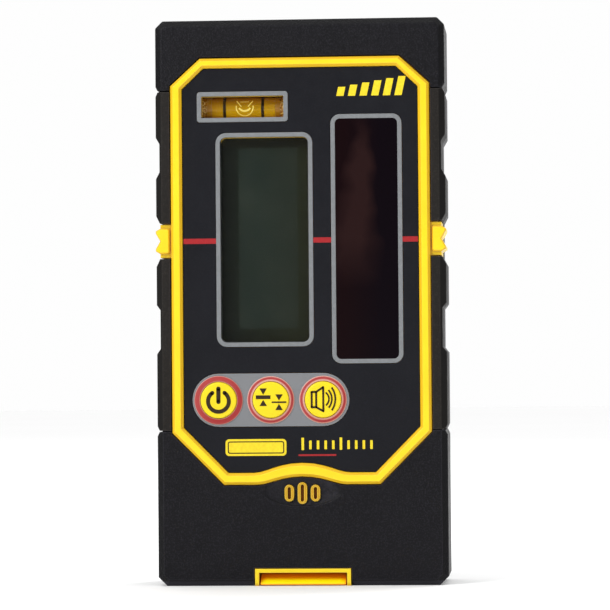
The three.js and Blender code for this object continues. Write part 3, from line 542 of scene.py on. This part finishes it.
# ---------------------------------------------------------------- CAD nodes that keep their shape
FINISHES = [
    (("front_housing",), YELLOW, 0.18 * MM),
    (("top_cover", "bottom_cover"), COVER, 0.3 * MM),
    (("grip_upper_left", "grip_upper_right", "grip_lower_left", "grip_lower_right"), GRIP, 0.3 * MM),
    (("rear_housing", "battery_door"), REAR, 0.25 * MM),
    (("faceplate",), PANEL, 0.1 * MM),
    (("keypad_bezel",), BEZEL, 0.12 * MM),
    (("battery_latch",), LATCH, 0.25 * MM),
    (("top_magnet_left", "top_magnet_right"), NICKEL, 0.2 * MM),
    (("clamp_insert",), BRASS, 0.15 * MM),
    (("case_gasket", "display_contact_strip"), RUBBER, 0),
    (("main_board", "sensor_board"), BOARD, 0),
    (("display_holder",), WHITE, 0.15 * MM),
    (("controller_chip", "sensor_header", "photodiode_array", "battery_snap"), DARK, 0.1 * MM),
    (("sounder",), smooth_plastic("sounder_case", (0.10, 0.028, 0.004), 0.5), 0.1 * MM),
    (("power_switch", "accuracy_switch", "volume_switch"), DARK, 0.1 * MM),
    (("vial_holder",), YELLOW, 0.15 * MM),
    (("battery_lead_red",), smooth_plastic("red_jacket", (0.45, 0.02, 0.02), 0.4), 0),
    (("battery_lead_black",), DARK, 0),
    (tuple(f"case_screw_{i}" for i in range(1, 7)), STEEL, 0.12 * MM),
    (tuple(f"board_screw_{i}" for i in range(1, 5)), STEEL, 0.1 * MM),
]
for nodes, look, width in FINISHES:
    for node in nodes:
        finish_node(node, look, width)


# ---------------------------------------------------------------- the seam between the halves
def seam_seals():
    """Two thin strips between the gasket and the front half, which keep light out of the seam."""
    front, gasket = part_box("top_cover")[1].y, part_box("case_gasket")
    low, high = gasket[0].z + 1.5 * MM, gasket[1].z - 0.8 * MM
    out, wide = 36.8 * MM, 0.7 * MM
    for word, side in (("left", -1), ("right", 1)):
        strip = rounded_rect(side * out, (low + high) / 2, wide, high - low, 0.2 * MM)
        slab(f"seam_seal_{word}", [strip], front, gasket[0].y, DARK)


seam_seals()


# ---------------------------------------------------------------- the sounder's slots
def slot_shade():
    """A brown sheet just inside each slot, as painted shade down in the slot."""
    wide, short, tall = 0.88 * MM, 3.25 * MM, 4.65 * MM
    front = -13.45 * MM
    look = Look("slot_shade_sheet", (0.10, 0.03, 0.003), 0.6, Specular_IOR_Level=0.1)
    shade_mottle = look.span(look.noise(0.3 * MM, 2), 0.4, 0.6)
    look.colour(look.blend(shade_mottle, (0.085, 0.022, 0.002), (0.15, 0.05, 0.005)))
    mesh = look.bump((look.noise(0.2 * MM, 1), 0.02 * MM)).material
    shapes = [rounded_rect(x, SLOT_Z, wide, high, wide / 2 - 0.01 * MM)
              for x, high in ((-SLOT_PITCH, short), (0, tall), (SLOT_PITCH, short))]
    slab("sounder_slot_shade", shapes, front, front + 0.15 * MM, mesh)


slot_shade()


# ---------------------------------------------------------------- the windows
BORDER = 1.22 * MM


def window(name, look, radius):
    """A lens with a grey border printed round it, in place of the plain CAD lens."""
    low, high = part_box(f"{name}_window")
    x, z = (low.x + high.x) / 2, (low.z + high.z) / 2
    w, h = high.x - low.x, high.z - low.z
    inner = rounded_rect(x, z, w - 2 * BORDER, h - 2 * BORDER, max(radius - BORDER, 0.25 * MM))
    outer = rounded_rect(x, z, w, h, radius)
    slab(f"{name}_border", [outer], low.y - 0.06 * MM, high.y, BORDER_INK, holes=[inner],
         replaced=[f"{name}_window"], rounding=0.12 * MM)
    pane = rounded_rect(x, z, w - 2 * BORDER - 0.02 * MM, h - 2 * BORDER - 0.02 * MM,
                        max(radius - BORDER, 0.25 * MM))
    slab(f"{name}_lens", [pane], low.y + 0.03 * MM, high.y - 0.1 * MM, look)


SENSOR_LOW, SENSOR_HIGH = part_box("sensor_window")
window("display", clear_look("display_lens", (0.02, 0.022, 0.02), 0.1), 2.9 * MM)
window("sensor", filter_look("sensor_filter", SENSOR_LOW, SENSOR_HIGH), 2.6 * MM)
window("vial", clear_look("vial_lens", (0.05, 0.05, 0.045), 0.04), 0.9 * MM)


def display_mask():
    """A dark mask behind the display's window, with a thin gap at its top."""
    low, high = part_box("display_window")
    x, z = (low.x + high.x) / 2, (low.z + high.z) / 2
    w, h = high.x - low.x - 2 * BORDER, high.z - low.z - 2 * BORDER
    rim = rounded_rect(x, z, w + 1.6 * MM, h + 1.6 * MM, 2 * MM)
    hole = rounded_rect(x, z + 0.3 * MM, w - 0.5 * MM, h + 0.2 * MM, 1.6 * MM)
    slab("display_mask", [rim], high.y + 0.05 * MM, high.y + 0.25 * MM, DARK, holes=[hole])


def display():
    """The liquid-crystal panel."""
    low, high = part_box("display_glass")
    x, z = (low.x + high.x) / 2, (low.z + high.z) / 2
    sheet = rounded_rect(x, z, high.x - low.x, high.z - low.z, 0.4 * MM)
    look = display_look("display_panel", low, high)
    slab("display_panel", [sheet], low.y, high.y, look, replaced=["display_glass"],
         rounding=0.1 * MM)


display_mask()
display()


VIAL_LOW, VIAL_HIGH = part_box("vial_tube")
VIAL_CENTRE = (VIAL_LOW + VIAL_HIGH) / 2
VIAL_RADIUS = (VIAL_HIGH.z - VIAL_LOW.z) / 2
BUBBLE_X = VIAL_CENTRE.x + 0.35 * MM
BUBBLE_Z = VIAL_CENTRE.z + 0.2 * MM


def vial_band(name, start, end, proud, look, replaced=()):
    """A cylinder round the vial's own axis, between two distances along it, this much proud of the tube."""
    bm = bmesh.new()
    circle = arc(VIAL_CENTRE.y, VIAL_CENTRE.z, VIAL_RADIUS + proud, 0, 360, 64)[:-1]
    first, second = [[bm.verts.new((VIAL_CENTRE.x + along, y, z)) for y, z in circle]
                     for along in (start, end)]
    for i in range(len(first)):
        bm.faces.new((first[i - 1], first[i], second[i], second[i - 1]))
    bm.faces.new(first)
    bm.faces.new(second)
    return soften(shown(name, mesh_of(name, bm), look, "case", replaced), 0.06 * MM)


def draped(name, outlines, look, proud):
    """Flat shapes laid on the front of the vial's tube."""
    piece = slab(name, outlines, -proud, -proud + 0.15 * MM, look)
    for vertex in piece.data.vertices:
        drop = vertex.co.z - VIAL_CENTRE.z
        vertex.co.y += VIAL_CENTRE.y - math.sqrt(max(VIAL_RADIUS**2 - drop**2, 0))


def vial():
    """The vial's tube of liquid, with its two rings and its plugged and cemented ends."""
    half = (VIAL_HIGH.x - VIAL_LOW.x) / 2
    amber = vial_look("vial_liquid", VIAL_LOW, VIAL_HIGH)
    cement = cement_look("vial_cement")
    orange = smooth_plastic("vial_plug", (0.42, 0.20, 0.001), 0.3)
    ring_at, ring_half = 5.3 * MM, 0.42 * MM
    plug_from, cement_from = 8.8 * MM, 10.2 * MM
    vial_band("vial_body", -plug_from, plug_from, 0, amber, ["vial_tube"])
    for word, side in (("left", -1), ("right", 1)):
        at, end = side * ring_at, side * (half - 0.02 * MM)
        vial_band(f"vial_ring_{word}", at - ring_half, at + ring_half, 0.05 * MM, MARK_INK)
        vial_band(f"vial_plug_{word}", side * plug_from, side * cement_from, 0.03 * MM, orange)
        vial_band(f"vial_cement_{word}", side * cement_from, end, 0, cement)


def near_bubble(start, end, width, steps=8):
    """A straight glint between two places given in millimetres from the bubble's centre."""
    line = []
    for i in range(steps + 1):
        x, z = (a + (b - a) * i / steps for a, b in zip(start, end))
        line.append((BUBBLE_X + x * MM, BUBBLE_Z + z * MM))
    return stroke(line, width)


def vial_bubble():
    """The bubble between the rings, and the glints at its edge."""
    patch = [(BUBBLE_X + 2.5 * MM * math.cos(a), BUBBLE_Z + 2.45 * MM * math.sin(a))
             for a in (math.radians(8 * i) for i in range(45))]
    draped("vial_bubble", [patch], smooth_plastic("bubble", (0.50, 0.22, 0.002), 0.15), 0.01 * MM)
    glints = [
        stroke(arc(BUBBLE_X, BUBBLE_Z, 2.35 * MM, 170, 370, 40), 0.3 * MM),
        stroke(arc(BUBBLE_X, BUBBLE_Z + 0.85 * MM, 1.9 * MM, 215, 325, 24), 0.46 * MM),
        near_bubble((-2.25, 1.75), (-0.95, 0.15), 0.26 * MM),
        near_bubble((2.25, 1.75), (0.95, 0.15), 0.26 * MM),
        near_bubble((-1.2, 1.5), (1.2, 1.5), 0.14 * MM),
    ]
    draped("vial_glints", glints, GLINT, 0.1 * MM)


vial()
vial_bubble()


# ---------------------------------------------------------------- the keypad
KEYPAD_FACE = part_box("keypad_bezel")[0].y
KEY_BORE = 5.13 * MM


def triangle(x, z, half, height):
    """A triangle whose point is at (x, z) and whose base is this much above it, or below if negative."""
    return [(x, z), (x + half, z + height), (x - half, z + height)]


def rounded_stroke(points, width):
    """A line of this width with round ends, as shapes that overlap."""
    ends = [arc(x, z, width / 2, 0, 360, 20)[:-1] for x, z in (points[0], points[-1])]
    return [stroke(points, width), *ends]


def power_mark():
    """An open ring with an upright bar in its gap."""
    ring = arc(0, -0.28 * MM, 2.87 * MM, 126, 414, 48)
    bar = [(0, 3.2 * MM), (0, -0.45 * MM)]
    return rounded_stroke(ring, 1.08 * MM) + rounded_stroke(bar, 1.16 * MM)


def accuracy_mark():
    """A thick line and a thin one, each between two arrowheads."""
    shapes = []
    for x, z, thick, gap in ((-2.05, 0.75, 1.02, 0.2), (2.3, -0.65, 0.42, 0.24)):
        clear = thick / 2 + gap
        shapes.append(rounded_rect(x * MM, z * MM, 4.05 * MM, thick * MM, 0.05 * MM, 2))
        shapes.append(triangle(x * MM, (z + clear) * MM, 1.0 * MM, 1.7 * MM))
        shapes.append(triangle(x * MM, (z - clear) * MM, 1.0 * MM, -1.7 * MM))
    return shapes


def volume_mark():
    """A loudspeaker in outline, with three waves coming out of it."""
    magnet = [(-3.1, 2.1), (-1.85, 2.1), (-1.85, -2.1), (-3.1, -2.1)]
    cone = [(-1.85, 2.1), (0.1, 3.4), (0.1, -3.2), (-1.85, -2.1)]
    shapes = []
    for corners in (magnet, cone):
        for first, second in zip(corners, corners[1:] + corners[:1]):
            shapes += rounded_stroke([(x * MM, z * MM) for x, z in (first, second)], 0.56 * MM)
    for x, radius, spread in ((-0.6, 2.25, 52), (-1.25, 3.7, 41), (-2.05, 5.46, 35)):
        shapes.append(stroke(arc(x * MM, 0.15 * MM, radius * MM, -spread, spread, 20), 0.46 * MM))
    return shapes


def key(name, mark, ring_from, ring_to):
    """A domed key with its printed mark, and the ring round it, red between two radii."""
    low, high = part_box(f"{name}_button")
    x, z = (low.x + high.x) / 2, (low.z + high.z) / 2
    flange = (high.x - low.x) / 2
    cap = flange - 0.6 * MM
    step = low.y + 2.5 * MM
    rim = low.y + 0.12 * MM
    fillet = 0.5 * MM
    crown = [(0, low.y)] + [
        (cap - fillet + fillet * math.sin(math.radians(a)), rim + fillet * (1 - math.cos(math.radians(a))))
        for a in range(0, 91, 15)
    ]
    stem, under = 1.6 * MM, step + 0.8 * MM
    skirt = [(cap, step), (flange, step), (flange, under), (stem, under), (stem, high.y), (0, high.y)]
    turned(f"{name}_cap", x, z, crown + skirt, KEY, f"{name}_key", [f"{name}_button"])
    shapes = [[(x + px, z + pz) for px, pz in outline] for outline in mark]
    slab(f"{name}_mark", shapes, low.y - 0.02 * MM, low.y + 0.2 * MM, MARK_INK,
         body=f"{name}_key")
    outer = ring_to + (0.1 * MM if name == "power" else 0.22 * MM)
    look = ring_look(f"{name}_ring", x, z, ring_from, ring_to)
    inner, top, root = KEY_BORE, KEYPAD_FACE - 0.12 * MM, KEYPAD_FACE + 0.5 * MM
    middle, half = (inner + outer) / 2, (outer - inner) / 2
    dome = [(middle - half * math.cos(a), KEYPAD_FACE + (top - KEYPAD_FACE) * math.sin(a))
            for a in (math.radians(15 * i) for i in range(13))]
    turned(f"{name}_ring", x, z, [(inner, root), *dome, (outer, root), (inner, root)], look)


key("power", power_mark(), 5.25 * MM, 6.6 * MM)
key("accuracy", accuracy_mark(), 5.62 * MM, 6.3 * MM)
key("volume", volume_mark(), 5.6 * MM, 6.32 * MM)


# ---------------------------------------------------------------- marks on the front panel
PANEL_LOW, PANEL_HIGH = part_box("faceplate")
PANEL_FACE = PANEL_LOW.y


def panel_print(name, outlines, look):
    """Ink on the front panel."""
    slab(name, outlines, PANEL_FACE - 0.03 * MM, PANEL_FACE + 0.2 * MM, look)


def reference_line():
    """The red line at grade, broken by the two windows."""
    display_low, display_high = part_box("display_window")
    grade = (display_low.z + display_high.z) / 2 - 0.3 * MM
    thick = 1.45 * MM
    stops = [PANEL_LOW.x + 0.1 * MM, display_low.x, display_high.x, SENSOR_LOW.x, SENSOR_HIGH.x,
             PANEL_HIGH.x - 0.1 * MM]
    for i, part in enumerate(("left", "middle", "right")):
        x0, x1 = stops[2 * i], stops[2 * i + 1]
        rect = rounded_rect((x0 + x1) / 2, grade, x1 - x0, thick, 0.03 * MM, 1)
        panel_print(f"reference_line_{part}", [rect], RED_INK)


def reception_bars():
    """A row of slanted bars that rise, above the sensor window."""
    start, pitch, wide, foot = 10.2 * MM, 3.2 * MM, 2.0 * MM, 134.5 * MM
    bars = []
    for i in range(6):
        x, head = start + pitch * i, (137.0 + 0.55 * i) * MM
        lean = (head - foot) * 0.22
        bars.append([(x, foot), (x + wide, foot), (x + wide + lean, head), (x + lean, head)])
    panel_print("reception_bars", bars, YELLOW_INK)


def blank_plate():
    """A plain plate with a dark rule inside its edge."""
    x, z = -12.7 * MM, 38.0 * MM
    panel_print("blank_plate", [rounded_rect(x, z, 16.8 * MM, 4.6 * MM, 1.0 * MM)], YELLOW_INK)
    rule = rounded_rect(x, z, 15.6 * MM, 3.4 * MM, 0.6 * MM)
    inside = rounded_rect(x, z, 15.0 * MM, 2.8 * MM, 0.4 * MM)
    slab("blank_plate_rule", [rule], PANEL_FACE - 0.045 * MM, PANEL_FACE, MARK_INK,
         holes=[inside])


def tick_scale():
    """A short graduated scale with a red line under its first half."""
    start, pitch, wide = 0.2 * MM, 2.1 * MM, 0.7 * MM
    ticks = []
    for i in range(10):
        z, tall = (38.6 * MM, 2.4 * MM) if i % 5 else (38.9 * MM, 3.4 * MM)
        ticks.append(rounded_rect(start + pitch * i, z, wide, tall, 0.1 * MM, 2))
    panel_print("tick_scale", ticks, YELLOW_INK)
    underline = rounded_rect(4.2 * MM, 35.8 * MM, 10.4 * MM, 0.5 * MM, 0.1 * MM, 2)
    panel_print("tick_underline", [underline], RED_INK)


reference_line()
reception_bars()
blank_plate()
tick_scale()


# ---------------------------------------------------------------- the back
def rear_label():
    """The blank label, with a ruled border and plain bars."""
    low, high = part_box("rear_label")
    x, z = (low.x + high.x) / 2, (low.z + high.z) / 2
    w, h = high.x - low.x, high.z - low.z
    slab("label_film", [rounded_rect(x, z, w, h, 2 * MM)], low.y, high.y, SILVER_INK,
         replaced=["rear_label"], rounding=0.05 * MM)
    ink = high.y + 0.02 * MM
    rule = rounded_rect(x, z, w - 2.4 * MM, h - 2.4 * MM, 1.2 * MM)
    inside = rounded_rect(x, z, w - 3.2 * MM, h - 3.2 * MM, 0.9 * MM)
    slab("label_rule", [rule], ink - 0.1 * MM, ink, MARK_INK, holes=[inside])
    bars = [rounded_rect(x - 10 * MM, z + (5 - 3.3 * i) * MM, (24 - 3 * i) * MM, 1.1 * MM, 0.2 * MM, 2)
            for i in range(4)]
    slab("label_bars", bars, ink - 0.1 * MM, ink, MARK_INK)


rear_label()


def battery():
    """The block battery, with a dark jacket and a copper-coloured end."""
    low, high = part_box("battery")
    look = Look("battery_jacket", (0.02, 0.02, 0.022), 0.3)
    copper = look.span(look.axis("X"), low.x + 13.9 * MM, low.x + 14.1 * MM, 1, 0)
    wear = look.span(look.noise(6 * MM, 3), 0.4, 0.7, 0, 0.2)
    jacket = look.blend(copper, (0.02, 0.02, 0.022), (0.50, 0.26, 0.10))
    look.colour(look.blend(wear, jacket, (0.08, 0.08, 0.08)))
    look.bump((look.noise(1.5 * MM, 2), 0.01 * MM))
    finish_node("battery", look.material, 0.2 * MM)


battery()


# ---------------------------------------------------------------- camera, floor and light
AIM = Vector((0.00113, -0.014, 0.07705))
CAMERA_TURN = 4.126
CAMERA_RISE = -1.377
CAMERA_ROLL = -0.464
CAMERA_DISTANCE = 0.886
LENS = 190.2
WHITE_SEEN = 0.99
ROOM = 0.22
CEILING = 1.05
BACKDROP = 0.7


def camera():
    """A long lens, nearly square to the front, a little below the middle and from the right."""
    turn, rise = math.radians(CAMERA_TURN), math.radians(CAMERA_RISE)
    back = Vector((math.sin(turn) * math.cos(rise), -math.cos(turn) * math.cos(rise), math.sin(rise)))
    data = bpy.data.cameras.new("camera")
    data.lens = LENS
    data.sensor_width = 36
    data.clip_end = 50
    made = bpy.data.objects.new("camera", data)
    bpy.context.scene.collection.objects.link(made)
    made.location = AIM + back * CAMERA_DISTANCE
    made.rotation_mode = "QUATERNION"
    roll = Quaternion((0, 0, 1), math.radians(CAMERA_ROLL))
    made.rotation_quaternion = (-back).to_track_quat("-Z", "Y") @ roll
    bpy.context.scene.camera = made


def floor():
    """A wide pale disc under the detector."""
    look = Look("floor_paint", (0.93, 0.93, 0.93), 0.9, Specular_IOR_Level=0.1)
    look.colour(look.blend(look.noise(0.4, 2), (0.92, 0.92, 0.92), (0.94, 0.94, 0.94)))
    bm = bmesh.new()
    bmesh.ops.create_circle(bm, cap_ends=True, radius=6, segments=96)
    mesh = mesh_of("floor", bm)
    mesh.materials.append(look.material)
    disc = bpy.data.objects.new("floor", mesh)
    bpy.context.scene.collection.objects.link(disc)


def softbox(name, place, size, power):
    """A square soft light that faces the middle of the detector."""
    data = bpy.data.lights.new(name, "AREA")
    data.shape = "RECTANGLE"
    data.size, data.size_y = size
    data.energy = power
    light = bpy.data.objects.new(name, data)
    bpy.context.scene.collection.objects.link(light)
    light.location = place
    light.rotation_mode = "QUATERNION"
    light.rotation_quaternion = (AIM - Vector(place)).to_track_quat("-Z", "Y")


def surroundings():
    """White to the camera, and to everything else a dim room with a bright ceiling and a bright back wall."""
    world = bpy.data.worlds.new("studio")
    bpy.context.scene.world = world
    world.use_nodes = True
    tree = world.node_tree
    made = tree.nodes.new
    toward = made("ShaderNodeTexCoord").outputs["Generated"]
    split = made("ShaderNodeSeparateXYZ")
    tree.links.new(toward, split.inputs[0])

    def ramp(axis, low, high, most):
        node = made("ShaderNodeMapRange")
        tree.links.new(split.outputs[axis], node.inputs["Value"])
        for socket, number in (("From Min", low), ("From Max", high), ("To Min", 0.0), ("To Max", most)):
            node.inputs[socket].default_value = number
        return node.outputs["Result"]

    total = None
    for part in (ramp("Z", 0.2, 0.8, CEILING), ramp("Y", 0.55, 0.9, BACKDROP)):
        node = made("ShaderNodeMath")
        node.operation = "ADD"
        tree.links.new(part, node.inputs[0])
        if total:
            tree.links.new(total, node.inputs[1])
        else:
            node.inputs[1].default_value = ROOM
        total = node.outputs[0]
    room = tree.nodes["Background"]
    tree.links.new(total, room.inputs["Strength"])
    white = made("ShaderNodeBackground")
    white.inputs["Strength"].default_value = WHITE_SEEN
    mix = made("ShaderNodeMixShader")
    tree.links.new(made("ShaderNodeLightPath").outputs["Is Camera Ray"], mix.inputs[0])
    tree.links.new(room.outputs[0], mix.inputs[1])
    tree.links.new(white.outputs[0], mix.inputs[2])
    tree.links.new(mix.outputs[0], tree.nodes["World Output"].inputs["Surface"])
    for background in (room, white):
        background.inputs["Color"].default_value = (1, 1, 1, 1)


camera()
floor()
surroundings()
softbox("key", (-0.9, -1.1, 0.95), (0.7, 0.7), 14)
softbox("fill", (0.9, 1.1, 0.8), (0.8, 0.8), 10)
bpy.context.scene.view_settings.view_transform = "Standard"
